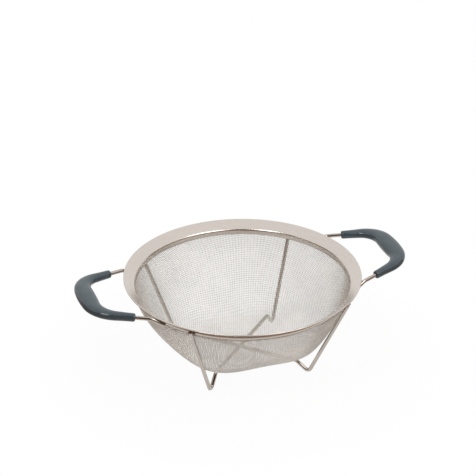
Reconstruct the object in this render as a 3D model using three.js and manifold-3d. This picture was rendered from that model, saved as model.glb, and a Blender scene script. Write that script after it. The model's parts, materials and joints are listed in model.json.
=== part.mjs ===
// Two-handled wire-mesh colander: a pressed sheet rim carries a woven bowl, four bent-wire legs
// and two wire handles with moulded grips. Millimetres, +Z up, +X along the handles.
// The origin is on the table, under the centre of the bowl.

import * as THREE from 'three';
import { mergeVertices } from 'three/addons/utils/BufferGeometryUtils.js';
import Module from 'manifold-3d';

// Gap left between neighbouring pieces, in place of a weld, a clamped edge or a moulded bond
const CLEARANCE = 0.3;

// Rim: one sheet ring with a turned-down lip, a flange that slopes inwards and an upright collar
const RIM_RADIUS = 120;
const RIM_TOP = 95.6;
const RIM_SHEET = 0.8;
const FLANGE_WIDTH = 11.8;
const FLANGE_SLOPE = THREE.MathUtils.degToRad(34);
const LIP_BEND = 0.6;
const LIP_DROP = 0.3;
const COLLAR_BEND = 2.5;
const COLLAR_DROP = 3.9;

// Clamp ring: a flat band under the flange that holds the edge of the wire cloth to the collar
const CLAMP_SHEET = 0.8;
const CLAMP_HEIGHT = 2.6;

// Bowl of woven wire cloth: round at the rim, and squarer towards the floor over the legs
const CLOTH_THICKNESS = 0.9;
const LEG_SIDE_FULLNESS = 0.86;
const LEG_SIDE_FLOOR = 47;
const OPEN_SIDE_LEAN = THREE.MathUtils.degToRad(12);
const OPEN_SIDE_STRAIGHT = 30;
const OPEN_SIDE_KNEE = 30;
const OPEN_SIDE_FLOOR = 39;

// Openings of the cloth: a coarse grid that stands in for the fine weave, below a plain edge
const OPENINGS_ACROSS = 10;
const OPENING_BAR = 7;
const OPENING_EDGE = 5;
const OPENING_CUT = 14;

// Legs: two wires, each bent into a pair of legs joined by a crossbar under the floor
const WIRE_DIAMETER = 4;
const FOOT_RADIUS = 73;
const FOOT_BEND = 4;
const FOOT_FLAT = 0.4;
const KNEE_STEP = 14;
const KNEE_BEND = 5;
const CROSSBAR_HEIGHT = 9.4;

// Handles: a wire under the flange on each side, bent to a gently rising bow that carries the grip
const HANDLE_HALF_SPREAD = 52;
const HANDLE_TAPER = THREE.MathUtils.degToRad(20);
const HANDLE_REACH = 40.5;
const HANDLE_LIFT = 1.6;
const BOW_PITCH = THREE.MathUtils.degToRad(6);
const HANDLE_RISE_BEND = 12;
const HANDLE_CORNER_BEND = 26;

// Grips: round at the mouths, and swelling to a palm rest that is wider outside the bow
const BARE_WIRE = 19.2;
const GRIP_END_DIAMETER = 8.4;
const GRIP_FINGER_SIDE = 8.3;
const GRIP_PALM_SIDE = 10.5;
const GRIP_THICKNESS = 10.2;
const GRIP_SWELL_LENGTH = 65;
const FINGER_SIDE_SPREAD = 0.65;
const PALM_SIDE_SPREAD = 1.1;
const GRIP_EDGE = 1.4;
const GRIP_MOUTH_DIAMETER = 6.6;
const GRIP_SQUARENESS = 2.4;

// Facets
const RING_DIVISIONS = 60;
const WIRE_SIDES = 10;
const BEND_STEPS = 5;
const SHEET_BEND_STEPS = 3;
const BOWL_STEPS = 10;
const GRIP_SIDES = 16;
const GRIP_STEPS = 22;
const GRIP_EDGE_STEPS = 2;

const wireRadius = WIRE_DIAMETER / 2;

const wasm = await Module();
wasm.setup();

const brushedSteel = () => new THREE.MeshStandardMaterial({ color: 0xcdc4ba, roughness: 0.38, metalness: 1 });
const steelCloth = () => new THREE.MeshStandardMaterial({ color: 0xb9b6b1, roughness: 0.45, metalness: 1 });
const drawnWire = () => new THREE.MeshStandardMaterial({ color: 0xa79f97, roughness: 0.3, metalness: 1 });
const slatePlastic = () => new THREE.MeshStandardMaterial({ color: 0x4b585f, roughness: 0.25, metalness: 0 });

// Solids for cutting

function toSolid(geometry) {
  const bare = new THREE.BufferGeometry();
  bare.setAttribute('position', geometry.getAttribute('position'));
  bare.setIndex(geometry.index);
  const merged = mergeVertices(bare, 1e-4);
  return new wasm.Manifold(new wasm.Mesh({
    numProp: 3,
    vertProperties: new Float32Array(merged.getAttribute('position').array),
    triVerts: new Uint32Array(merged.index.array),
  }));
}

function toGeometry(solid) {
  const mesh = solid.getMesh();
  const geometry = new THREE.BufferGeometry();
  geometry.setAttribute('position', new THREE.BufferAttribute(mesh.vertProperties, mesh.numProp));
  geometry.setIndex(new THREE.BufferAttribute(mesh.triVerts, 1));
  geometry.computeVertexNormals();
  return geometry;
}

// Sheet and cloth sections in the (radius, height) plane

function unit(angle) {
  return new THREE.Vector2(Math.cos(angle), Math.sin(angle));
}

function along(point, angle, distance) {
  return unit(angle).multiplyScalar(distance).add(point);
}

function arcPoints(centre, radius, from, to, steps) {
  return Array.from({ length: steps + 1 }, (_, i) => along(centre, from + (to - from) * i / steps, radius));
}

// The points moved sideways by the given distance, to the right of the direction of travel
function offsetRight(points, distance) {
  return points.map((point, i) => {
    const before = points[Math.max(i - 1, 0)];
    const after = points[Math.min(i + 1, points.length - 1)];
    const into = point.clone().sub(before).normalize();
    const out = after.clone().sub(point).normalize();
    const travel = into.add(out).normalize();
    return new THREE.Vector2(travel.y, -travel.x).multiplyScalar(distance).add(point);
  });
}

// Closed outline of a sheet of even thickness about its middle line
function sheetOutline(middle, thickness) {
  const right = offsetRight(middle, thickness / 2);
  const left = offsetRight(middle, -thickness / 2);
  return [...right, ...left.reverse()];
}

function ring(outline) {
  const geometry = new THREE.LatheGeometry([...outline, outline[0]], RING_DIVISIONS);
  return geometry.rotateX(Math.PI / 2);
}

// Rim and clamp ring

const collarInside = RIM_RADIUS - FLANGE_WIDTH;
const collarOutside = collarInside + RIM_SHEET;
const flangeNormal = Math.PI / 2 + FLANGE_SLOPE;

const lipCentre = new THREE.Vector2(
  RIM_RADIUS - RIM_SHEET / 2 - LIP_BEND,
  RIM_TOP - RIM_SHEET / 2 - LIP_BEND,
);
const flangeOuter = along(lipCentre, flangeNormal, LIP_BEND);
const collarBendRadius = collarInside + RIM_SHEET / 2 + COLLAR_BEND;
const flangeInnerRadius = collarBendRadius + COLLAR_BEND * Math.cos(flangeNormal);
const flangeInnerHeight = flangeOuter.y - (flangeOuter.x - flangeInnerRadius) * Math.tan(FLANGE_SLOPE);
const collarCentre = new THREE.Vector2(
  collarBendRadius,
  flangeInnerHeight - COLLAR_BEND * Math.sin(flangeNormal),
);
const lipBottom = lipCentre.y - LIP_DROP;
const collarBottom = collarCentre.y - COLLAR_DROP;

function rimFlange() {
  const middle = [
    new THREE.Vector2(RIM_RADIUS - RIM_SHEET / 2, lipBottom),
    ...arcPoints(lipCentre, LIP_BEND, 0, flangeNormal, SHEET_BEND_STEPS),
    ...arcPoints(collarCentre, COLLAR_BEND, flangeNormal, Math.PI, SHEET_BEND_STEPS),
    new THREE.Vector2(collarInside + RIM_SHEET / 2, collarBottom),
  ];
  return ring(sheetOutline(middle, RIM_SHEET));
}

const clothInside = collarOutside + CLEARANCE;
const clampInside = clothInside + CLOTH_THICKNESS + CLEARANCE;
const clampOutside = clampInside + CLAMP_SHEET;

// Height of the flange's underside
function flangeUnder(radius) {
  const middle = flangeOuter.y - (flangeOuter.x - radius) * Math.tan(FLANGE_SLOPE);
  return middle - RIM_SHEET / 2 / Math.cos(FLANGE_SLOPE);
}

function clampRing() {
  const middleRadius = clampInside + CLAMP_SHEET / 2;
  const top = flangeUnder(clampInside) - CLEARANCE / Math.cos(FLANGE_SLOPE);
  const middle = [
    new THREE.Vector2(middleRadius, top - CLAMP_HEIGHT),
    new THREE.Vector2(middleRadius, top),
  ];
  return ring(sheetOutline(middle, CLAMP_SHEET));
}

// Legs

// Direction of a straight run that passes two round bends, each on its left (+) or right (-) side
function runAngle(from, fromSide, to, toSide) {
  const step = to.clone().sub(from);
  return step.angle() - Math.asin((toSide - fromSide) / step.length());
}

function meet(pointA, angleA, pointB, angleB) {
  const gap = pointB.clone().sub(pointA);
  const distance = gap.cross(unit(angleB)) / unit(angleA).cross(unit(angleB));
  return along(pointA, angleA, distance);
}

const clothTop = new THREE.Vector2(clothInside + CLOTH_THICKNESS / 2, collarBottom);
const clothToLeg = CLOTH_THICKNESS / 2 + CLEARANCE + wireRadius;
const footCentre = new THREE.Vector2(FOOT_RADIUS, wireRadius - FOOT_FLAT + FOOT_BEND);
const legAngle = runAngle(clothTop, -clothToLeg, footCentre, -FOOT_BEND);
const legOnFoot = along(footCentre, legAngle + Math.PI / 2, FOOT_BEND);
const upperCrossbarHeight = CROSSBAR_HEIGHT + WIRE_DIAMETER + CLEARANCE;

// The leg's top, square-cut just under the sloping flange
function legTop() {
  const under = along(flangeOuter, flangeNormal + Math.PI, RIM_SHEET / 2);
  const down = unit(flangeNormal + Math.PI);
  const slant = unit(legAngle).dot(down);
  const standoff = CLEARANCE + wireRadius * Math.sqrt(1 - slant ** 2);
  const length = (legOnFoot.clone().sub(under).dot(down) - standoff) / slant;
  return along(legOnFoot, legAngle, -length);
}

function legCorners(crossbarHeight) {
  const kneeCentre = new THREE.Vector2(FOOT_RADIUS - KNEE_STEP, crossbarHeight - KNEE_BEND);
  const kneeAngle = runAngle(footCentre, -FOOT_BEND, kneeCentre, KNEE_BEND);
  const kneeOnFoot = along(footCentre, kneeAngle + Math.PI / 2, FOOT_BEND);
  const foot = meet(legOnFoot, legAngle, kneeOnFoot, kneeAngle);
  const knee = meet(kneeOnFoot, kneeAngle, new THREE.Vector2(0, crossbarHeight), Math.PI);
  const half = [legTop(), foot, knee];
  const mirrored = half.map((corner) => new THREE.Vector2(-corner.x, corner.y)).reverse();
  return [...half, ...mirrored].map((corner) => new THREE.Vector3(corner.x, 0, corner.y));
}

// Wire bent round a radius at each inner corner, and straight in between
class BentWire extends THREE.Curve {
  constructor(corners, bends) {
    super();
    this.pieces = [];
    this.stations = [0];
    this.total = 0;
    let start = corners[0];
    for (let i = 1; i < corners.length - 1; i += 1) {
      const into = corners[i].clone().sub(corners[i - 1]).normalize();
      const out = corners[i + 1].clone().sub(corners[i]).normalize();
      const turn = into.angleTo(out);
      const bend = bends[i - 1];
      const bendStart = corners[i].clone().addScaledVector(into, -bend * Math.tan(turn / 2));
      this.addRun(start, bendStart);
      this.addBend(bendStart, into, into.clone().cross(out).normalize(), bend, turn);
      start = corners[i].clone().addScaledVector(out, bend * Math.tan(turn / 2));
    }
    this.addRun(start, corners.at(-1));
  }

  addRun(start, end) {
    const tangent = end.clone().sub(start);
    const length = tangent.length();
    tangent.normalize();
    const place = (distance) => ({ point: start.clone().addScaledVector(tangent, distance), tangent });
    this.addPiece(length, 1, place);
  }

  addBend(start, into, axis, bend, turn) {
    const inward = axis.clone().cross(into);
    const place = (distance) => {
      const angle = distance / bend;
      const point = start.clone();
      point.addScaledVector(into, bend * Math.sin(angle));
      point.addScaledVector(inward, bend * (1 - Math.cos(angle)));
      return { point, tangent: into.clone().applyAxisAngle(axis, angle) };
    };
    this.addPiece(bend * turn, BEND_STEPS, place);
  }

  addPiece(length, steps, place) {
    this.pieces.push({ from: this.total, length, place });
    for (let i = 1; i <= steps; i += 1) {
      this.stations.push(this.total + length * i / steps);
    }
    this.total += length;
  }

  at(distance) {
    const piece = this.pieces.findLast((each) => each.from <= distance) ?? this.pieces[0];
    return piece.place(distance - piece.from);
  }

  get steps() {
    return this.stations.length - 1;
  }

  getPointAt(u) {
    return this.at(this.stations[Math.round(u * this.steps)]).point;
  }

  getTangentAt(u) {
    return this.at(this.stations[Math.round(u * this.steps)]).tangent.clone();
  }
}

function wireGeometry(wire, radius) {
  const section = new THREE.Shape().absarc(0, 0, radius, 0, 2 * Math.PI);
  return new THREE.ExtrudeGeometry(section, {
    extrudePath: wire,
    steps: wire.steps,
    curveSegments: WIRE_SIDES / 2,
  });
}

// One wire with a leg at each end; its feet are pressed flat where they stand on the table
function legWire(crossbarHeight) {
  const wire = new BentWire(legCorners(crossbarHeight), [FOOT_BEND, KNEE_BEND, KNEE_BEND, FOOT_BEND]);
  const table = new THREE.BoxGeometry(2 * RIM_RADIUS, 2 * WIRE_DIAMETER, WIRE_DIAMETER);
  table.translate(0, 0, -WIRE_DIAMETER / 2);
  return toGeometry(toSolid(wireGeometry(wire, wireRadius)).subtract(toSolid(table)));
}

// Bowl

const floorHeight = upperCrossbarHeight + wireRadius + CLEARANCE + CLOTH_THICKNESS / 2;

// Over a leg the wall runs parallel to the wire before it turns into the floor
function legSideWall() {
  const corner = meet(clothTop, legAngle, new THREE.Vector2(0, floorHeight), 0);
  return new THREE.CubicBezierCurve(
    new THREE.Vector2(LEG_SIDE_FLOOR, floorHeight),
    corner,
    clothTop.clone().lerp(corner, LEG_SIDE_FULLNESS),
    clothTop,
  );
}

// Between the legs the wall is steeper under the rim and rounder at the floor
function openSideWall() {
  return new THREE.CubicBezierCurve(
    new THREE.Vector2(OPEN_SIDE_FLOOR, floorHeight),
    new THREE.Vector2(OPEN_SIDE_FLOOR + OPEN_SIDE_KNEE, floorHeight),
    along(clothTop, -Math.PI / 2 - OPEN_SIDE_LEAN, OPEN_SIDE_STRAIGHT),
    clothTop,
  );
}

// Middle line of the cloth from the centre of the floor to its edge behind the collar
function clothMiddle(azimuth) {
  const overLeg = (1 - Math.cos(4 * azimuth)) / 2;
  const legSide = legSideWall().getPoints(BOWL_STEPS);
  const openSide = openSideWall().getPoints(BOWL_STEPS);
  return [
    new THREE.Vector2(0, floorHeight),
    ...openSide.map((point, i) => point.clone().lerp(legSide[i], overLeg)),
    new THREE.Vector2(clothTop.x, collarCentre.y),
  ];
}

// Point or direction of a section, swung round to its azimuth
function swing(section, azimuth) {
  return new THREE.Vector3(section.x * Math.cos(azimuth), section.x * Math.sin(azimuth), section.y);
}

// Closed shell from sections that change with the azimuth; each starts and ends on the axis
function clothShell() {
  const positions = [];
  const indices = [];
  const rows = 2 * clothMiddle(0).length - 2;
  for (let j = 0; j < RING_DIVISIONS; j += 1) {
    const azimuth = 2 * Math.PI * j / RING_DIVISIONS;
    for (const point of sheetOutline(clothMiddle(azimuth), CLOTH_THICKNESS).slice(1, -1)) {
      positions.push(...swing(point, azimuth).toArray());
    }
  }
  const under = RING_DIVISIONS * rows;
  const inside = under + 1;
  positions.push(0, 0, floorHeight - CLOTH_THICKNESS / 2);
  positions.push(0, 0, floorHeight + CLOTH_THICKNESS / 2);
  for (let j = 0; j < RING_DIVISIONS; j += 1) {
    const here = j * rows;
    const next = ((j + 1) % RING_DIVISIONS) * rows;
    indices.push(under, next, here);
    for (let i = 0; i < rows - 1; i += 1) {
      indices.push(here + i, next + i, next + i + 1);
      indices.push(here + i, next + i + 1, here + i + 1);
    }
    indices.push(here + rows - 1, next + rows - 1, inside);
  }
  return closedGeometry(positions, indices);
}

function closedGeometry(positions, indices) {
  const geometry = new THREE.BufferGeometry();
  geometry.setAttribute('position', new THREE.Float32BufferAttribute(positions, 3));
  geometry.setIndex(indices);
  geometry.computeVertexNormals();
  return geometry;
}

// Place in the bowl of a point of the flat cloth, and the direction into the bowl there
function onCloth(x, y) {
  const azimuth = Math.atan2(y, x);
  const middle = clothMiddle(azimuth);
  let start = 0;
  let rest = Math.hypot(x, y);
  while (start < middle.length - 2 && rest > middle[start].distanceTo(middle[start + 1])) {
    rest -= middle[start].distanceTo(middle[start + 1]);
    start += 1;
  }
  const travel = middle[start + 1].clone().sub(middle[start]).normalize();
  const place = middle[start].clone().addScaledVector(travel, rest);
  const inward = new THREE.Vector2(-travel.y, travel.x);
  return { place: swing(place, azimuth), inward: swing(inward, azimuth) };
}

// Square peg through the flat cloth, bent with it into the bowl
function openingPeg(x, y, width) {
  const peg = new THREE.BoxGeometry(width, width, OPENING_CUT);
  peg.translate(x, y, 0);
  const position = peg.getAttribute('position');
  for (let i = 0; i < position.count; i += 1) {
    const { place, inward } = onCloth(position.getX(i), position.getY(i));
    place.addScaledVector(inward, position.getZ(i));
    position.setXYZ(i, place.x, place.y, place.z);
  }
  return toSolid(peg);
}

function openings() {
  const wall = clothMiddle(0).slice(0, -1);
  const reach = wall.slice(1).reduce((sum, point, i) => sum + point.distanceTo(wall[i]), 0);
  const pitch = 2 * reach / OPENINGS_ACROSS;
  const centres = Array.from({ length: OPENINGS_ACROSS }, (_, i) => (i + 0.5) * pitch - reach);
  const top = clothTop.y - OPENING_EDGE;
  const pegs = centres.flatMap((x) => centres
    .filter((y) => onCloth(x, y).place.z < top)
    .map((y) => openingPeg(x, y, pitch - OPENING_BAR)));
  return wasm.Manifold.union(pegs).trimByPlane([0, 0, -1], -top);
}

function meshBowl() {
  return toGeometry(toSolid(clothShell()).subtract(openings()));
}

// Handles and grips, drawn for the right side

const armDirection = new THREE.Vector3(Math.cos(HANDLE_TAPER), -Math.sin(HANDLE_TAPER), 0);
const bowNormal = new THREE.Vector3(-Math.sin(BOW_PITCH), 0, Math.cos(BOW_PITCH));

// The arm passes under the lip, and its end is tucked under the flange beside the clamp ring
function handleCorners() {
  const lipPoint = new THREE.Vector3(
    Math.sqrt(RIM_RADIUS ** 2 - HANDLE_HALF_SPREAD ** 2),
    HANDLE_HALF_SPREAD,
    lipBottom - (CLEARANCE + wireRadius) / Math.cos(FLANGE_SLOPE),
  );
  const tuckRadius = clampOutside + wireRadius;
  const inward = lipPoint.dot(armDirection);
  const tuck = inward - Math.sqrt(inward ** 2 - RIM_RADIUS ** 2 + tuckRadius ** 2);
  const tuckHeight = flangeUnder(clampOutside) - (CLEARANCE + wireRadius) / Math.cos(FLANGE_SLOPE);
  const rise = (lipPoint.z - tuckHeight) / tuck;
  const end = lipPoint.clone().addScaledVector(armDirection, -tuck).setZ(tuckHeight);
  const bowStart = lipPoint.clone().addScaledVector(armDirection, HANDLE_LIFT / rise);
  bowStart.z += HANDLE_LIFT;
  const bowDepth = RIM_RADIUS + HANDLE_REACH - bowStart.x;
  const corner = bowStart.clone().addScaledVector(armDirection, bowDepth / armDirection.x);
  corner.z += bowDepth * Math.tan(BOW_PITCH);
  const half = [end, bowStart, corner];
  const mirrored = half.map((point) => new THREE.Vector3(point.x, -point.y, point.z)).reverse();
  return { corners: [...half, ...mirrored], lipPoint };
}

const handle = handleCorners();
const handleWire = new BentWire(
  handle.corners,
  [HANDLE_RISE_BEND, HANDLE_CORNER_BEND, HANDLE_CORNER_BEND, HANDLE_RISE_BEND],
);
const gripStart = handle.corners[0].distanceTo(handle.lipPoint) + BARE_WIRE;

function superellipse(angle, halfWidth, halfThickness) {
  const power = 2 / GRIP_SQUARENESS;
  const bend = (value) => Math.sign(value) * Math.abs(value) ** power;
  return new THREE.Vector2(halfWidth * bend(Math.cos(angle)), halfThickness * bend(Math.sin(angle)));
}

// One ring of the grip's skin round the wire, shrunk near the mouths to round their edges
function gripRing(distance, shrink) {
  const { point, tangent } = handleWire.at(distance);
  const side = tangent.clone().cross(bowNormal).normalize();
  const top = side.clone().cross(tangent);
  const fromMiddle = Math.min(Math.abs(distance - handleWire.total / 2) / GRIP_SWELL_LENGTH, 1);
  const swell = (1 + Math.cos(Math.PI * fromMiddle)) / 2;
  const grown = (size, share) => THREE.MathUtils.lerp(GRIP_END_DIAMETER / 2, size, share) - shrink;
  const fingerSide = grown(GRIP_FINGER_SIDE, swell ** FINGER_SIDE_SPREAD);
  const palmSide = grown(GRIP_PALM_SIDE, swell ** PALM_SIDE_SPREAD);
  const halfThickness = grown(GRIP_THICKNESS / 2, swell);
  return Array.from({ length: GRIP_SIDES }, (_, i) => {
    const angle = 2 * Math.PI * i / GRIP_SIDES;
    const offset = superellipse(angle, Math.cos(angle) > 0 ? fingerSide : palmSide, halfThickness);
    return point.clone().addScaledVector(side, offset.x).addScaledVector(top, offset.y);
  });
}

function gripRings() {
  const gripEnd = handleWire.total - gripStart;
  const depth = (GRIP_END_DIAMETER - GRIP_MOUTH_DIAMETER) / 2;
  const edge = Array.from({ length: GRIP_EDGE_STEPS }, (_, i) => {
    const angle = Math.PI / 2 * i / GRIP_EDGE_STEPS;
    return { run: GRIP_EDGE * (1 - Math.cos(angle)), shrink: depth * (1 - Math.sin(angle)) };
  });
  const first = gripStart + GRIP_EDGE;
  const last = gripEnd - GRIP_EDGE;
  const body = Array.from({ length: GRIP_STEPS + 1 }, (_, i) => first + (last - first) * i / GRIP_STEPS);
  return [
    ...edge.map(({ run, shrink }) => gripRing(gripStart + run, shrink)),
    ...body.map((distance) => gripRing(distance, 0)),
    ...edge.reverse().map(({ run, shrink }) => gripRing(gripEnd - run, shrink)),
  ];
}

// Skin through a row of rings, closed by a fan at each end
function loft(rings) {
  const count = rings[0].length;
  const positions = rings.flat().flatMap((point) => point.toArray());
  const indices = [];
  for (let i = 0; i < rings.length - 1; i += 1) {
    for (let j = 0; j < count; j += 1) {
      const k = (j + 1) % count;
      indices.push(i * count + j, (i + 1) * count + k, i * count + k);
      indices.push(i * count + j, (i + 1) * count + j, (i + 1) * count + k);
    }
  }
  const lastRing = (rings.length - 1) * count;
  for (let j = 1; j < count - 1; j += 1) {
    indices.push(0, j, j + 1);
    indices.push(lastRing, lastRing + j + 1, lastRing + j);
  }
  return closedGeometry(positions, indices);
}

function grip() {
  const tunnel = wireGeometry(handleWire, wireRadius + CLEARANCE);
  return toGeometry(toSolid(loft(gripRings())).subtract(toSolid(tunnel)));
}

// Assembly

function addPiece(parent, name, geometry, material) {
  const mesh = new THREE.Mesh(geometry, material);
  mesh.name = name;
  parent.add(mesh);
  return mesh;
}

const group = new THREE.Group();
addPiece(group, 'rim_flange', rimFlange(), brushedSteel());
addPiece(group, 'mesh_clamp_ring', clampRing(), brushedSteel());
addPiece(group, 'mesh_bowl', meshBowl(), steelCloth());

const legPlane = Math.PI / 4;
addPiece(group, 'leg_wire_upper', legWire(upperCrossbarHeight), drawnWire()).rotation.z = legPlane;
addPiece(group, 'leg_wire_lower', legWire(CROSSBAR_HEIGHT), drawnWire()).rotation.z = -legPlane;

for (const [side, turn] of [['right', 0], ['left', Math.PI]]) {
  const handleGroup = new THREE.Group();
  handleGroup.rotation.z = turn;
  addPiece(handleGroup, `handle_wire_${side}`, wireGeometry(handleWire, wireRadius), drawnWire());
  addPiece(handleGroup, `grip_${side}`, grip(), slatePlastic());
  group.add(handleGroup);
}

export default group;
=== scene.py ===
"""Dressed model of a two-handled wire-mesh colander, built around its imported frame.

The frame fixes where every piece sits. Here its faceted solids are replaced by smooth meshes of the same
sizes, the bowl is woven wire by wire, and a white studio repeats the view of the photograph.
Lengths are metres, in the frame's axes: +X along the handles, +Z up, the table at height 0.
"""

import sys

import json
import logging
import math
from dataclasses import dataclass
from enum import Enum

import bpy
import numpy as np
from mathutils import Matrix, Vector

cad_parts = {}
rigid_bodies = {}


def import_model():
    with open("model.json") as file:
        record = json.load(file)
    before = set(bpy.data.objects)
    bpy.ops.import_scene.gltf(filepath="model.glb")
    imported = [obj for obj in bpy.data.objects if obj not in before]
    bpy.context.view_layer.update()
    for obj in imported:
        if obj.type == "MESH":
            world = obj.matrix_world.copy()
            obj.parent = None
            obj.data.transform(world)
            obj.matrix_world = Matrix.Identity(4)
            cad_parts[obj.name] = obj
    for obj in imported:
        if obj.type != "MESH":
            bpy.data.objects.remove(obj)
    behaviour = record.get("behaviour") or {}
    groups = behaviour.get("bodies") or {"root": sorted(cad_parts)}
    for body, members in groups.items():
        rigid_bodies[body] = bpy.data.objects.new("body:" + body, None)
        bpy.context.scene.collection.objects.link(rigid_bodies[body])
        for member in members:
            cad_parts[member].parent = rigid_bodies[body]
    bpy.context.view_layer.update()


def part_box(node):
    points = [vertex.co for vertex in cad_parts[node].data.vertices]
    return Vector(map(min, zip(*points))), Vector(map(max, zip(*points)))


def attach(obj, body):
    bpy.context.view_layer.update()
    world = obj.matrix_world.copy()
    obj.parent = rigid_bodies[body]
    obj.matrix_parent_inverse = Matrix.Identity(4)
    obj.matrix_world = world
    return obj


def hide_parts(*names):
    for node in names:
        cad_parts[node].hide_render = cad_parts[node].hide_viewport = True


LOG = logging.getLogger("colander")
MM = 0.001
BODY = "root"
CLEARANCE = 0.3 * MM
WIRE_RADIUS = 2.0 * MM
WHITE = "FFFFFF"
# Values of a noise texture that the two tones of a finish are set at
NOISE_STOPS = (0.3, 0.7)


class Thread(Enum):
    """The two directions of wire in a plain weave."""

    WARP = "warp"
    WEFT = "weft"


class LegPair(Enum):
    """The two leg wires, which cross under the floor of the bowl."""

    UPPER = "upper"
    LOWER = "lower"


class Side(Enum):
    """The two handles."""

    RIGHT = "right"
    LEFT = "left"


# Plane geometry of the sections


def unit(angle: float) -> np.ndarray:
    """Direction of an angle in the (radius, height) plane."""
    return np.array([math.cos(angle), math.sin(angle)])


def cross(a: np.ndarray, b: np.ndarray) -> float:
    """Turn from one plane vector to another, times their lengths."""
    return float(a[0] * b[1] - a[1] * b[0])


def arc(centre: np.ndarray, radius: float, start: float, end: float, steps: int) -> np.ndarray:
    """Points of an arc.

    Args:
        centre: Centre in the section plane.
        radius: Radius of the arc.
        start: First angle.
        end: Last angle.
        steps: Number of chords.

    Returns:
        The points in order, both ends included.
    """
    angles = np.linspace(start, end, steps + 1)
    return centre + radius * np.column_stack([np.cos(angles), np.sin(angles)])


def meet(a: np.ndarray, angle_a: float, b: np.ndarray, angle_b: float) -> np.ndarray:
    """Point where two lines cross.

    Args:
        a: A point of the first line.
        angle_a: Its direction.
        b: A point of the second line.
        angle_b: Its direction.

    Returns:
        The crossing point.
    """
    reach = cross(b - a, unit(angle_b)) / cross(unit(angle_a), unit(angle_b))
    return a + reach * unit(angle_a)


def run_angle(start: np.ndarray, start_side: float, end: np.ndarray, end_side: float) -> float:
    """Direction of a straight run past two round bends.

    Args:
        start: Centre of the first bend.
        start_side: Its radius, with a plus where the run leaves it on the left.
        end: Centre of the second bend.
        end_side: Its radius, signed in the same way.

    Returns:
        The angle of the run.
    """
    step = end - start
    return math.atan2(step[1], step[0]) - math.asin((end_side - start_side) / np.linalg.norm(step))


def bezier(points: list[np.ndarray], steps: int) -> np.ndarray:
    """Points of a cubic curve.

    Args:
        points: Its four control points.
        steps: Number of chords.

    Returns:
        The points in order, both ends included.
    """
    t = np.linspace(0, 1, steps + 1)[:, None]
    a, b, c, d = points
    return (1 - t) ** 3 * a + 3 * (1 - t) ** 2 * t * b + 3 * (1 - t) * t**2 * c + t**3 * d


def normalised(vectors: np.ndarray) -> np.ndarray:
    """Rows scaled to length 1."""
    return vectors / np.linalg.norm(vectors, axis=-1, keepdims=True)


def distances_along(points: np.ndarray) -> np.ndarray:
    """Distance of each point from the first, along the line through them."""
    return np.concatenate([[0], np.cumsum(np.linalg.norm(np.diff(points, axis=0), axis=1))])


def circle(side: np.ndarray, top: np.ndarray, sides: int) -> np.ndarray:
    """Directions round each section, from its sideways to its upward direction."""
    angles = np.arange(sides)[:, None] * 2 * math.pi / sides
    return np.cos(angles) * side[..., None, :] + np.sin(angles) * top[..., None, :]


def sheet_outline(middle: np.ndarray, thickness: float, edge: float) -> np.ndarray:
    """Outline of a sheet with rounded edges.

    Args:
        middle: Middle line of the sheet, between its two edges.
        thickness: Its thickness.
        edge: How far each rounded edge reaches past the middle line.

    Returns:
        The closed outline, clockwise.
    """
    travel = normalised(np.gradient(middle, axis=0))
    left = np.column_stack([-travel[:, 1], travel[:, 0]]) * thickness / 2
    edge_points = 9
    turns = np.linspace(math.pi / 2, -math.pi / 2, edge_points)[:, None]
    last = middle[-1] + edge * np.cos(turns) * travel[-1] + np.sin(turns) * left[-1]
    first = middle[0] - edge * np.cos(turns) * travel[0] - np.sin(turns) * left[0]
    return np.vstack([(middle + left)[1:-1], last, (middle - left)[-2:0:-1], first])


# Meshes


def put_in_scene(name: str, data: bpy.types.ID) -> bpy.types.Object:
    """Add an object with the given data to the scene."""
    item = bpy.data.objects.new(name, data)
    bpy.context.scene.collection.objects.link(item)
    return item


class Skin:
    """Faces through rows of rings, gathered for one mesh."""

    def __init__(self) -> None:
        """Start with no faces."""
        self.vertices: list[np.ndarray] = []
        self.places: list[np.ndarray] = []
        self.faces: list[list[int]] = []
        self.count = 0

    def add(self, rings: np.ndarray, closed: bool = False) -> None:
        """Skin one row of rings.

        Args:
            rings: Points as (ring, side, 3), turning left about the direction of travel.
            closed: True if the last ring joins the first. An open row gets a cap at each end.
        """
        rows, sides = rings.shape[:2]
        index = self.count + np.arange(rows * sides).reshape(rows, sides)
        beside = np.roll(index, -1, axis=1)
        quads = np.stack([index, beside, np.roll(beside, -1, axis=0), np.roll(index, -1, axis=0)], axis=-1)
        if not closed:
            quads = quads[:-1]
            self.faces += [index[0, ::-1].tolist(), index[-1].tolist()]
        self.faces += quads.reshape(-1, 4).tolist()
        along = distances_along(rings.mean(axis=1))
        around = np.arange(sides) / sides
        self.places.append(np.stack(np.meshgrid(around, along), axis=-1).reshape(-1, 2))
        self.vertices.append(rings.reshape(-1, 3))
        self.count += rows * sides

    def piece(self, name: str, material: bpy.types.Material, slot: str, *nodes: str) -> bpy.types.Object:
        """Make the gathered faces a smooth piece of the object.

        Args:
            name: Name of the piece.
            material: Its finish.
            slot: The record's material slot; not used.
            nodes: The frame's nodes that the piece stands for.

        Returns:
            The new object.
        """
        mesh = bpy.data.meshes.new(name)
        mesh.from_pydata(np.concatenate(self.vertices), [], self.faces, shade_flat=False)
        corners = np.empty(len(mesh.loops), dtype=np.int32)
        mesh.loops.foreach_get("vertex_index", corners)
        layer = mesh.uv_layers.new(name="around_and_along")
        layer.uv.foreach_set("vector", np.concatenate(self.places)[corners].astype(np.float32).ravel())
        mesh.materials.append(material)
        piece = put_in_scene(name, mesh)
        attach(piece, BODY)
        if nodes:
            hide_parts(*nodes)
        LOG.info("%s: %d faces", name, len(mesh.polygons))
        return piece


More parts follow.
